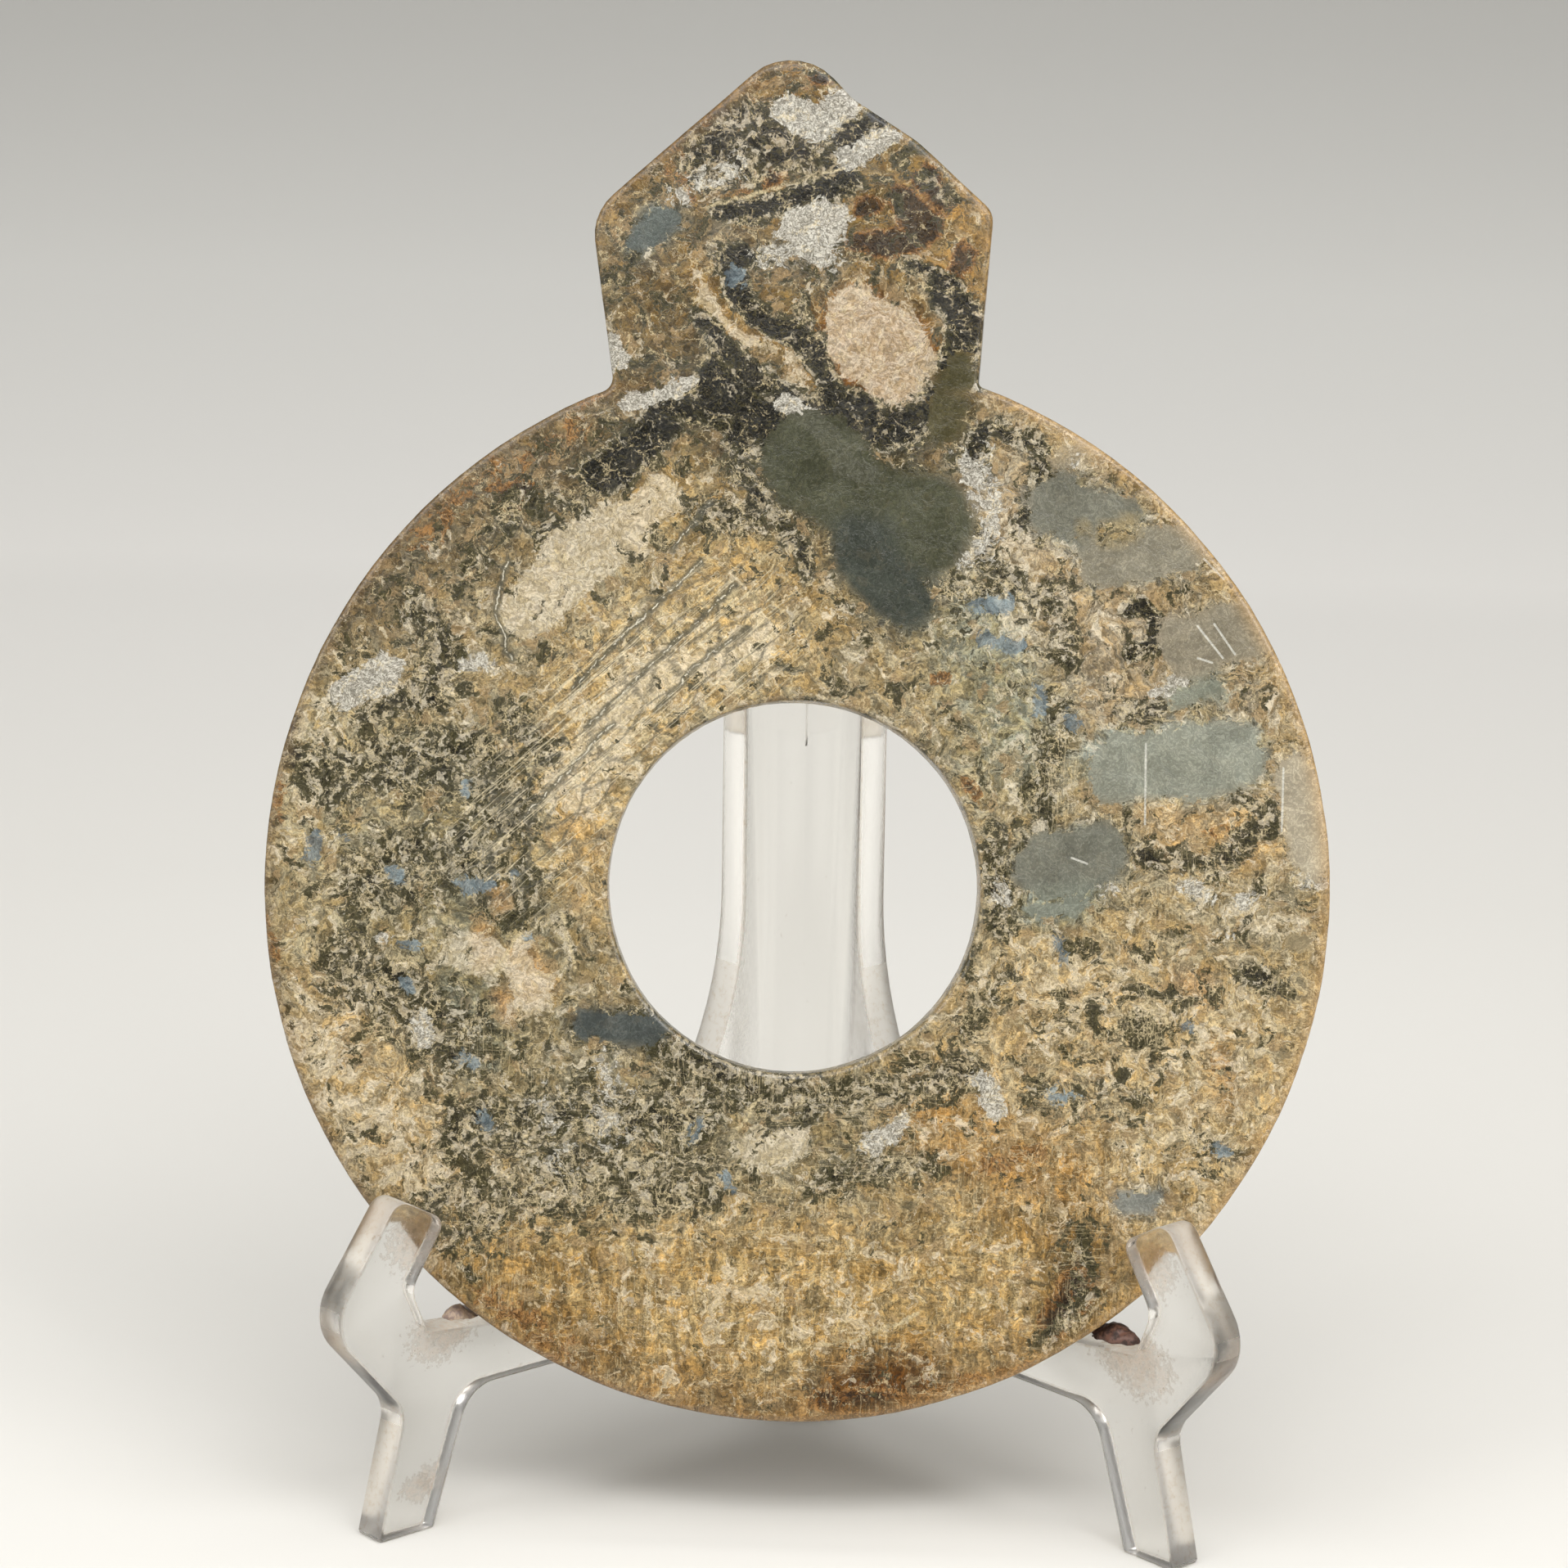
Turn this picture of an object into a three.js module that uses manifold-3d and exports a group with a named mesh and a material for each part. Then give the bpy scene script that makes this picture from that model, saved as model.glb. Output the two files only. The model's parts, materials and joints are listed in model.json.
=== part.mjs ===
// A jade bi disc with a peaked projection, held upright in a clear acrylic easel.
// Millimetres, +Z up. The disc faces -Y, and the easel's mitred spine stands at the back.
import * as THREE from 'three';
import { mergeVertices } from 'three/addons/utils/BufferGeometryUtils.js';
import Module from 'manifold-3d';

const wasm = await Module();
wasm.setup();

const TOUCH_GAP = 0.3;

// Jade disc: one carved stone, its front face in its own XY plane, the hole's centre at its origin.
const DISC_RADIUS = 90;
const HOLE_RADIUS = 31.4;
const DISC_THICKNESS = 7;
const DISC_EDGE_ROUND = 1;
const DISC_LEAN = THREE.MathUtils.degToRad(15);
const DISC_SETBACK = -39.7;
const DISC_CENTRE_HEIGHT = 108.5;
// The peaked projection: corners and the radius that each is worn to. Its two roots are on the rim.
const PEAK_RIGHT_ROOT = { angle: THREE.MathUtils.degToRad(71.4), round: 1.1 };
const PEAK_LEFT_ROOT = { angle: THREE.MathUtils.degToRad(111.6), round: 2.4 };
const PEAK_RIGHT_SHOULDER = [30.5, 114.7, 4];
const PEAK_RIGHT_BULGE = [17.3, 126.5, 12];
const PEAK_RIGHT_DIP = [6.1, 133.5, 6];
const PEAK_TIP = [-3.9, 143.7, 10];
const PEAK_LEFT_SHOULDER = [-37.8, 113.2, 9];

// Easel: two flat plates that meet in a mitred spine, each turned from the X axis by WING_TURN.
const PLATE_THICKNESS = 6.3;
const PLATE_EDGE_ROUND = 0.5;
const WING_TURN = THREE.MathUtils.degToRad(44.5);
const EASEL_HEIGHT = 177.8;
const SPINE_OVERRUN = 8;
const REAR_FOOT_REACH = 6.5;
const ARCH_HEIGHT = 23.4;
const FRONT_FOOT_INNER = 84.9;
const FRONT_FOOT_OUTER = 96.6;
const LEG_KNEE = [91, 22.4, 6];
const HOOK_BELLY = [106.6, 40.1, 8.5];
const HOOK_TOP = [92.1, 60.1, 3];
const HOOK_TIP = [82.1, 54.4, 2.2];
const HOOK_RECESS = [89.2, 43.5, 4];
const LEDGE_NOTCH = [85.9, 35.5, 1];
const LEDGE_SWEEP = [42.3, 30.9, 30];
const BACKREST_FRONT = 17;
const BACKREST_SWEEP_HEIGHT = 85.2;
const BACKREST_SWEEP_RADIUS = 65.4;
const FOOT_ROUND = 0.8;

// Museum wax: a pressed lump on each ledge. Along the plate, across it and up, as half sizes.
const WAX_LEFT = { along: 76.5, height: 35.6, halves: [4.6, 2.3, 2.4] };
const WAX_RIGHT = { along: 78.5, height: 36, halves: [6, 2.7, 2.9] };

const ARC_STEP = THREE.MathUtils.degToRad(13);
const RIM_STEPS = 116;
const HOLE_STEPS = 72;

const jade = new THREE.MeshStandardMaterial({ color: 0x7b6a48, roughness: 0.3, metalness: 0 });
const acrylic = new THREE.MeshStandardMaterial({
  color: 0xf2f0ec, roughness: 0.05, metalness: 0, transparent: true, opacity: 0.3,
});
const wax = new THREE.MeshStandardMaterial({ color: 0x6d5250, roughness: 0.6, metalness: 0 });

// The points of a closed or open run of corners, each rounded by an arc of its own radius.
function roundedCorners(corners) {
  return corners.flatMap(([x, y, radius], index) => {
    const corner = new THREE.Vector2(x, y);
    if (radius === 0) return [corner];
    const before = corners.at(index - 1);
    const after = corners[(index + 1) % corners.length];
    const back = new THREE.Vector2(before[0], before[1]).sub(corner).normalize();
    const ahead = new THREE.Vector2(after[0], after[1]).sub(corner).normalize();
    const halfAngle = Math.acos(back.dot(ahead)) / 2;
    const inward = back.clone().add(ahead).normalize();
    const centre = corner.clone().addScaledVector(inward, radius / Math.sin(halfAngle));
    const start = corner.clone().addScaledVector(back, radius / Math.tan(halfAngle)).sub(centre);
    const turn = Math.PI - 2 * halfAngle;
    const side = Math.sign(back.cross(ahead)) * -1;
    const steps = Math.max(2, Math.ceil(turn / ARC_STEP));
    return Array.from({ length: steps + 1 }, (unused, step) => (
      start.clone().rotateAround(new THREE.Vector2(), side * turn * step / steps).add(centre)
    ));
  });
}

function circlePoint(radius, angle) {
  return new THREE.Vector2(radius * Math.cos(angle), radius * Math.sin(angle));
}

// The stone's outline: the round rim from the left root down and round to the right root, then
// up over the peak. The corner next to each root continues the rim, so the fillets meet it.
function discOutline() {
  const sweep = 2 * Math.PI + PEAK_RIGHT_ROOT.angle - PEAK_LEFT_ROOT.angle;
  const fillet = THREE.MathUtils.degToRad(3);
  const rimPoint = (angle) => [...circlePoint(DISC_RADIUS, angle).toArray(), 0];
  const rightRoot = circlePoint(DISC_RADIUS, PEAK_RIGHT_ROOT.angle);
  const leftRoot = circlePoint(DISC_RADIUS, PEAK_LEFT_ROOT.angle);
  const rim = Array.from({ length: RIM_STEPS + 1 }, (unused, step) => (
    rimPoint(PEAK_LEFT_ROOT.angle + fillet + (sweep - 2 * fillet) * step / RIM_STEPS)
  ));
  return roundedCorners([
    ...rim,
    [rightRoot.x, rightRoot.y, PEAK_RIGHT_ROOT.round],
    PEAK_RIGHT_SHOULDER,
    PEAK_RIGHT_BULGE,
    PEAK_RIGHT_DIP,
    PEAK_TIP,
    PEAK_LEFT_SHOULDER,
    [leftRoot.x, leftRoot.y, PEAK_LEFT_ROOT.round],
  ]);
}

function discGeometry() {
  const shape = new THREE.Shape(discOutline());
  const hole = Array.from({ length: HOLE_STEPS }, (unused, step) => (
    circlePoint(HOLE_RADIUS, -2 * Math.PI * step / HOLE_STEPS)
  ));
  shape.holes.push(new THREE.Path(hole));
  const geometry = new THREE.ExtrudeGeometry(shape, {
    depth: DISC_THICKNESS - 2 * DISC_EDGE_ROUND,
    bevelThickness: DISC_EDGE_ROUND,
    bevelSize: DISC_EDGE_ROUND,
    bevelOffset: -DISC_EDGE_ROUND,
    bevelSegments: 3,
  });
  geometry.translate(0, 0, DISC_EDGE_ROUND - DISC_THICKNESS);
  return geometry;
}

// One easel plate seen flat: X runs out from the spine, Y is up. It stands on a narrow foot at the
// spine and a broad one in front, and its hook and ledge make the seat that the disc drops into.
function plateOutline() {
  return roundedCorners([
    [-SPINE_OVERRUN, 0, 0],
    [REAR_FOOT_REACH, 0, FOOT_ROUND],
    [2 * REAR_FOOT_REACH, ARCH_HEIGHT, FOOT_ROUND * 10],
    [77, ARCH_HEIGHT, 7],
    [FRONT_FOOT_INNER, 0, FOOT_ROUND],
    [FRONT_FOOT_OUTER, 0, FOOT_ROUND],
    LEG_KNEE,
    HOOK_BELLY,
    HOOK_TOP,
    HOOK_TIP,
    HOOK_RECESS,
    LEDGE_NOTCH,
    LEDGE_SWEEP,
    [BACKREST_FRONT, BACKREST_SWEEP_HEIGHT, BACKREST_SWEEP_RADIUS],
    [BACKREST_FRONT, EASEL_HEIGHT, 3],
    [-SPINE_OVERRUN, EASEL_HEIGHT, 0],
  ]);
}

// The plate's solid, its middle plane at Z 0; grow sets its faces that much further out.
function plateGeometry(grow) {
  const half = PLATE_THICKNESS / 2 + grow;
  const geometry = new THREE.ExtrudeGeometry(new THREE.Shape(plateOutline()), {
    depth: 2 * (half - PLATE_EDGE_ROUND),
    bevelThickness: PLATE_EDGE_ROUND,
    bevelSize: PLATE_EDGE_ROUND,
    bevelOffset: grow - PLATE_EDGE_ROUND,
    bevelSegments: 2,
  });
  geometry.translate(0, 0, PLATE_EDGE_ROUND - half);
  return geometry;
}

function toSolid(geometry) {
  const bare = geometry.clone();
  bare.deleteAttribute('normal');
  bare.deleteAttribute('uv');
  const merged = mergeVertices(bare, 1e-4);
  return new wasm.Manifold(new wasm.Mesh({
    numProp: 3,
    vertProperties: new Float32Array(merged.attributes.position.array),
    triVerts: new Uint32Array(merged.index.array),
  }));
}

function toGeometry(solid) {
  const { vertProperties, triVerts } = solid.getMesh();
  const geometry = new THREE.BufferGeometry();
  geometry.setAttribute('position', new THREE.BufferAttribute(vertProperties, 3));
  geometry.setIndex(new THREE.BufferAttribute(triVerts, 1));
  geometry.computeVertexNormals();
  return geometry;
}

// The block that a plate's spine edge is trimmed by, so that the two plates meet in a mitre.
function mitreBlock(side) {
  const depth = 60;
  const block = new THREE.BoxGeometry(depth, 3 * EASEL_HEIGHT, depth);
  block.translate((TOUCH_GAP - depth) / 2, 0, 0);
  block.rotateY(side * WING_TURN);
  return block;
}

// Stands a plate, or what lies on one, up in its place: side is 1 on the right and -1 on the left.
function onWing(mesh, side) {
  const wing = new THREE.Group();
  wing.rotation.z = side > 0 ? -WING_TURN : Math.PI + WING_TURN;
  mesh.rotation.x = Math.PI / 2;
  wing.add(mesh);
  return wing;
}

function easelPlate(name, side) {
  const trimmed = toSolid(plateGeometry(0)).subtract(toSolid(mitreBlock(side)));
  const mesh = new THREE.Mesh(toGeometry(trimmed), acrylic);
  mesh.name = name;
  return onWing(mesh, side);
}

function seated(object) {
  object.rotation.x = Math.PI / 2 - DISC_LEAN;
  object.position.set(0, DISC_SETBACK, DISC_CENTRE_HEIGHT);
  return object;
}

function jadeDisc() {
  const mesh = new THREE.Mesh(discGeometry(), jade);
  mesh.name = 'jade_disc';
  return seated(mesh);
}

// A plain round stone a little larger than the disc, in the plate's own frame, to press wax with.
function discPress(wing) {
  const thickness = DISC_THICKNESS + 2 * TOUCH_GAP;
  const radius = DISC_RADIUS + TOUCH_GAP;
  const geometry = new THREE.CylinderGeometry(radius, radius, thickness, 180);
  geometry.rotateX(Math.PI / 2);
  geometry.translate(0, 0, -DISC_THICKNESS / 2);
  const press = seated(new THREE.Object3D());
  press.updateMatrix();
  const lump = wing.children[0];
  wing.updateMatrixWorld(true);
  geometry.applyMatrix4(press.matrix);
  geometry.applyMatrix4(lump.matrixWorld.clone().invert());
  return geometry;
}

// A lump of wax squeezed between the ledge below it and the disc's rim above it.
function waxLump(name, side, { along, height, halves }) {
  const mesh = new THREE.Mesh(new THREE.BufferGeometry(), wax);
  mesh.name = name;
  const wing = onWing(mesh, side);
  const ball = new THREE.SphereGeometry(1, 20, 14);
  ball.scale(...halves);
  ball.translate(along, height, 0);
  const pressed = toSolid(ball).subtract(toSolid(plateGeometry(TOUCH_GAP)));
  mesh.geometry = toGeometry(pressed.subtract(toSolid(discPress(wing))));
  return wing;
}

const object = new THREE.Group();
object.add(
  jadeDisc(),
  easelPlate('easel_left_plate', -1),
  easelPlate('easel_right_plate', 1),
  waxLump('wax_left', -1, WAX_LEFT),
  waxLump('wax_right', 1, WAX_RIGHT),
);

// The origin is the middle of the footprint, on the surface that the easel stands on.
const box = new THREE.Box3().setFromObject(object, true);
const middle = box.getCenter(new THREE.Vector3());
object.position.set(-middle.x, -middle.y, -box.min.z);

export default object;
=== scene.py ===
"""A jade bi disc with a peaked projection, leaning in a clear acrylic easel on a pale studio sweep."""
import json
import math

import bpy
import numpy as np
from mathutils import Matrix, Vector, noise

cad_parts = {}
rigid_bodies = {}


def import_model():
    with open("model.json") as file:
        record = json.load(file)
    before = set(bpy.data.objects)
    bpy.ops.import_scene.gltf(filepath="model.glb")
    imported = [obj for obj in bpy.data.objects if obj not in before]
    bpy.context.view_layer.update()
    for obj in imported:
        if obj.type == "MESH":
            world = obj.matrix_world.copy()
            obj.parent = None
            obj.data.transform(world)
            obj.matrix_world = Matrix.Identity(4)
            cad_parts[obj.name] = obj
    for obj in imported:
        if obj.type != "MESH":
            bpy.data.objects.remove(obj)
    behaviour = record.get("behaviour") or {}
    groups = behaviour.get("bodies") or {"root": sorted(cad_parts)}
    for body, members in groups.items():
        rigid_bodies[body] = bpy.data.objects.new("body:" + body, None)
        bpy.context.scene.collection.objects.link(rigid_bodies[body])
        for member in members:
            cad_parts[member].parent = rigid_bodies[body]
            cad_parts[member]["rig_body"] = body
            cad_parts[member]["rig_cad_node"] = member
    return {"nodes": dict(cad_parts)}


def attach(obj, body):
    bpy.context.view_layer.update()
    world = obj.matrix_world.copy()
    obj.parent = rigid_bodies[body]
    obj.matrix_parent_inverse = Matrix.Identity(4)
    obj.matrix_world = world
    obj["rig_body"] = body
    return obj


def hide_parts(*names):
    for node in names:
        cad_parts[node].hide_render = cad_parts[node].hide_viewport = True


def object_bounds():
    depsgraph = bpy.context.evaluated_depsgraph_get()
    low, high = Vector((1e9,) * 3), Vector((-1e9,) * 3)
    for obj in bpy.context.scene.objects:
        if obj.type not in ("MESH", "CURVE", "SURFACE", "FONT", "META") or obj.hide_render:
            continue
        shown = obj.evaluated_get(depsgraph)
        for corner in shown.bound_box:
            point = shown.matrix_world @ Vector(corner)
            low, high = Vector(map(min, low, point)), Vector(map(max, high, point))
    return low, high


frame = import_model()
cad_low, cad_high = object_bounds()
scene = bpy.context.scene
scene.view_settings.view_transform = "Standard"

# The camera: a long lens a little above the disc, looking down along the lean of the stone, so
# that the round rim reads as a true circle. It stands slightly to the right and is rolled a touch.
plate_thickness = 0.0063
wing_turn = math.radians(44.5)
spine_y = cad_high.y - plate_thickness / 2 / math.cos(wing_turn) + 0.00015
eye = Vector((0.0405, spine_y - 0.8526, 0.3256))
eye_pan = math.radians(2.99)
eye_dip = math.radians(13.76)
eye_roll = math.radians(0.87)
bpy.ops.object.camera_add()
camera = bpy.context.object
camera.data.sensor_width = 36
camera.data.lens = 114.9
camera.data.clip_start = 0.05
camera.data.clip_end = 20
turn = Matrix.Rotation(eye_pan, 4, "Z") @ Matrix.Rotation(math.pi / 2 - eye_dip, 4, "X")
camera.matrix_world = Matrix.Translation(eye) @ turn @ Matrix.Rotation(eye_roll, 4, "Z")
scene.camera = camera


# The studio: a pale paper sweep that curves up behind the object, its colour painted with shade:
# a little lighter part way back, and darker as it curves up into the backdrop, where the light falls
# off. Two large soft boxes light it from high on either side, with weaker ones in front, above and
# on the backdrop.
def rgb(code):
    """A colour written as #RRGGBB, as the shader's linear values."""
    parts = [int(code[start:start + 2], 16) / 255 for start in (1, 3, 5)]
    return [p / 12.92 if p <= 0.04045 else ((p + 0.055) / 1.055) ** 2.4 for p in parts] + [1]


def plain_material(name, colour, roughness):
    """A new material with its Principled shader set to one colour and roughness."""
    made = bpy.data.materials.new(name)
    made.use_nodes = True
    shader = made.node_tree.nodes["Principled BSDF"]
    shader.inputs["Base Color"].default_value = rgb(colour)
    shader.inputs["Roughness"].default_value = roughness
    return made


def wired(tree, kind, wires, **settings):
    """Adds a node, sets it, and wires or fills its inputs. Returns its outputs."""
    made = tree.nodes.new(kind)
    for key, value in settings.items():
        setattr(made, key, value)
    for key, value in wires.items():
        if isinstance(value, bpy.types.NodeSocket):
            tree.links.new(value, made.inputs[key])
        else:
            made.inputs[key].default_value = value
    return made.outputs


def vectors(tree, operation, *values):
    """One Vector Math node's result. A SCALE takes its factor last."""
    wires = dict(enumerate(values))
    if operation == "SCALE":
        wires["Scale"] = wires.pop(1)
    made = wired(tree, "ShaderNodeVectorMath", wires, operation=operation)
    return made["Value" if operation in ("DOT_PRODUCT", "DISTANCE") else "Vector"]


def start_edit():
    """Opens the active object in edit mode with all of it selected."""
    bpy.ops.object.mode_set(mode="EDIT")
    bpy.ops.mesh.select_all(action="SELECT")


sweep_width = 10
sweep_front = -6
sweep_back = 0.75
sweep_bend = 0.5
sweep_height = 1.6
bpy.ops.object.select_all(action="DESELECT")
bpy.ops.mesh.primitive_plane_add(size=2)
sweep = bpy.context.object
sweep.name = "paper_sweep"
for corner in sweep.data.vertices:
    corner.co = (corner.co.x * sweep_width / 2, sweep_front if corner.co.y < 0 else sweep_back, 0)
bpy.ops.object.mode_set(mode="EDIT")
bpy.ops.mesh.select_all(action="DESELECT")
bpy.ops.object.mode_set(mode="OBJECT")
for edge in sweep.data.edges:
    edge.select = all(sweep.data.vertices[index].co.y > 0 for index in edge.vertices)
bpy.ops.object.mode_set(mode="EDIT")
bpy.ops.mesh.select_mode(type="EDGE")
bend_steps = 16
for step in range(bend_steps):
    angle = math.radians(90) * (step + 0.5) / bend_steps
    length = 2 * sweep_bend * math.sin(math.radians(45) / bend_steps)
    move = (0, length * math.cos(angle), length * math.sin(angle))
    bpy.ops.mesh.extrude_region_move(TRANSFORM_OT_translate={"value": move})
bpy.ops.mesh.extrude_region_move(TRANSFORM_OT_translate={"value": (0, 0, sweep_height)})
bpy.ops.object.mode_set(mode="OBJECT")
bpy.ops.object.shade_smooth()
paper = plain_material("paper_with_painted_shade", "#EDEBE6", 0.9)
tree = paper.node_tree
here = wired(tree, "ShaderNodeTexCoord", {})["Object"]
reach = wired(tree, "ShaderNodeSeparateXYZ", {0: here})["Y"]
rise = wired(tree, "ShaderNodeMapRange", {"Value": reach, "From Min": 0.4, "From Max": 1.2})[0]
# Painted shade: this ramp darkens the paper's colour toward the back and up the backdrop.
painted_shade_ramp = tree.nodes.new("ShaderNodeValToRGB")
painted_shade_stops = painted_shade_ramp.color_ramp.elements
painted_shade_stops[0].color = rgb("#E1DFDA")
painted_shade_stops[1].color = rgb("#A09F9B")
painted_shade_stops.new(0.5).color = rgb("#ECEAE6")
painted_shade_stops.new(0.75).color = rgb("#D4D3CF")
tree.links.new(rise, painted_shade_ramp.inputs["Fac"])
tree.links.new(painted_shade_ramp.outputs["Color"], tree.nodes["Principled BSDF"].inputs["Base Color"])
sweep.data.materials.append(paper)


def soft_box(name, place, aim, width, height, power, colour):
    """A rectangular soft box at a place, turned to face its aim."""
    bpy.ops.object.light_add(type="AREA", location=place)
    box = bpy.context.object
    box.name = name
    box.data.shape = "RECTANGLE"
    box.data.size = width
    box.data.size_y = height
    box.data.energy = power
    box.data.color = rgb(colour)[:3]
    box.rotation_euler = (Vector(aim) - Vector(place)).to_track_quat("-Z", "Y").to_euler()


aim = (0, 0, 0.11)
soft_box("soft_box_left", (-0.85, -0.75, 0.95), aim, 0.8, 0.8, 6.8, "#FFFEFB")
soft_box("soft_box_right", (0.85, -0.75, 0.95), aim, 0.8, 0.8, 8.4, "#FFFDF9")
soft_box("soft_box_above", (0, -0.1, 1.2), (0, 0.05, 0), 1.2, 1, 3, "#FFFFFF")
soft_box("soft_box_backdrop", (0, 0.3, 1.5), (0, 1, 0.1), 2, 0.5, 3, "#FFFFFF")
soft_box("soft_box_front", (0.1, -0.9, 1.15), aim, 1, 0.4, 8, "#FFFFFF")

# The room is bright above and behind, and dark behind the camera, so that the polish stays clear.
camera_side = (-0.05, -0.958, 0.28)
world = bpy.data.worlds.new("room_light")
world.use_nodes = True
tree = world.node_tree
tree.nodes["Background"].inputs["Color"].default_value = rgb("#FBFAF8")
toward = wired(tree, "ShaderNodeTexCoord", {})["Generated"]
facing = vectors(tree, "DOT_PRODUCT", toward, camera_side)
brightness = {"Value": facing, "From Min": 0.94, "From Max": 0.68, "To Min": 0.05, "To Max": 0.5}
tree.links.new(wired(tree, "ShaderNodeMapRange", brightness)[0],
               tree.nodes["Background"].inputs["Strength"])
scene.world = world


# The jade disc: one sawn and ground stone, 7 mm thick, its hole drilled from the front and a
# little narrower behind. It is polished by hand, so its faces wander slightly, and its edges are
# nicked. It only leans in the easel.
stone_lean = math.radians(15)
stone_middle = Vector((0, -0.0043, 0.1085))
stone_seat = Matrix.Translation(stone_middle) @ Matrix.Rotation(math.pi / 2 - stone_lean, 4, "X")
rim_radius = 0.09
hole_radius = 0.0314
stone_thickness = 0.007
hole_taper = 0.0004
hole_drift = -0.0006
skin_grid = 0.00125
hand_wander = 0.00028
wander_size = 0.011
# Nicks along the edges: where each is on the front face, in millimetres, and its half size.
nicks = [(-29.9, 6, 1.2), (-30.8, -5.7, 1), (-13.1, 28, 1), (-88.3, -17.6, 1.6), (81.2, 39.5, 1.1),
         (15.1, 127.8, 1.2), (-34.3, 93.3, 1.3), (22.8, 21.6, 0.8), (-12, -88.6, 1.1)]


def copied(node, name):
    """A merged copy of a CAD node, selected and active, to work on."""
    bpy.ops.object.select_all(action="DESELECT")
    copy = frame["nodes"][node].copy()
    copy.data = frame["nodes"][node].data.copy()
    copy.name = copy.data.name = name
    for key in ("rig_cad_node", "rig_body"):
        if key in copy:
            del copy[key]
    copy.parent = None
    scene.collection.objects.link(copy)
    copy.select_set(True)
    bpy.context.view_layer.objects.active = copy
    start_edit()
    bpy.ops.mesh.remove_doubles(threshold=1e-6)
    bpy.ops.object.mode_set(mode="OBJECT")
    return copy


def cut_with(piece, cutter, operation):
    """Cuts or joins another mesh into a piece, and deletes the cutter."""
    boolean = piece.modifiers.new("cut", "BOOLEAN")
    boolean.operation = operation
    boolean.solver = "EXACT"
    boolean.object = cutter
    bpy.ops.object.select_all(action="DESELECT")
    bpy.context.view_layer.objects.active = piece
    bpy.ops.object.modifier_apply(modifier="cut")
    bpy.data.objects.remove(cutter)


jade = copied("jade_disc", "jade_bi_disc")
jade.data.transform(stone_seat.inverted())
start_edit()
bpy.ops.mesh.dissolve_limited(angle_limit=math.radians(1))
bpy.ops.object.mode_set(mode="OBJECT")
# The hole's back edge is drawn in and aside, as a tube drill leaves it.
for vertex in jade.data.vertices:
    out = math.hypot(vertex.co.x, vertex.co.y)
    if out < hole_radius + 0.002:
        depth = -vertex.co.z / stone_thickness
        vertex.co.x = vertex.co.x * (1 - depth * hole_taper / out) + depth * hole_drift
        vertex.co.y = vertex.co.y * (1 - depth * hole_taper / out)
for index, (along, up, size) in enumerate(nicks):
    place = (along / 1000, up / 1000, 0.0004)
    bpy.ops.mesh.primitive_ico_sphere_add(subdivisions=2, radius=size / 1000, location=place)
    nick = bpy.context.object
    nick.rotation_euler = (index, 2 * index, 3 * index)
    nick.scale = (1.4, 0.8, 0.7)
    bpy.ops.object.transform_apply(location=True, rotation=True, scale=True)
    cut_with(jade, nick, "DIFFERENCE")
# The faces are divided into a fine grid that carries the polish and the minerals.
jade.select_set(True)
bpy.context.view_layer.objects.active = jade
bpy.ops.object.mode_set(mode="EDIT")
low, high = [Vector(jade.bound_box[index]) for index in (0, 6)]
for axis in (0, 1):
    normal = [0, 0, 0]
    normal[axis] = 1
    for step in range(1, int((high[axis] - low[axis]) / skin_grid)):
        point = [0, 0, 0]
        point[axis] = low[axis] + step * skin_grid
        bpy.ops.mesh.select_all(action="SELECT")
        bpy.ops.mesh.bisect(plane_co=point, plane_no=normal)
bpy.ops.object.mode_set(mode="OBJECT")
bpy.ops.object.shade_smooth_by_angle(angle=math.radians(38))
wander = bpy.data.textures.new("hand_wander", "CLOUDS")
wander.noise_scale = wander_size
wander.noise_depth = 2
polish = jade.modifiers.new("polish", "DISPLACE")
polish.texture = wander
polish.texture_coords = "LOCAL"
polish.strength = hand_wander
polish.mid_level = 1
bpy.ops.object.modifier_apply(modifier="polish")
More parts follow.
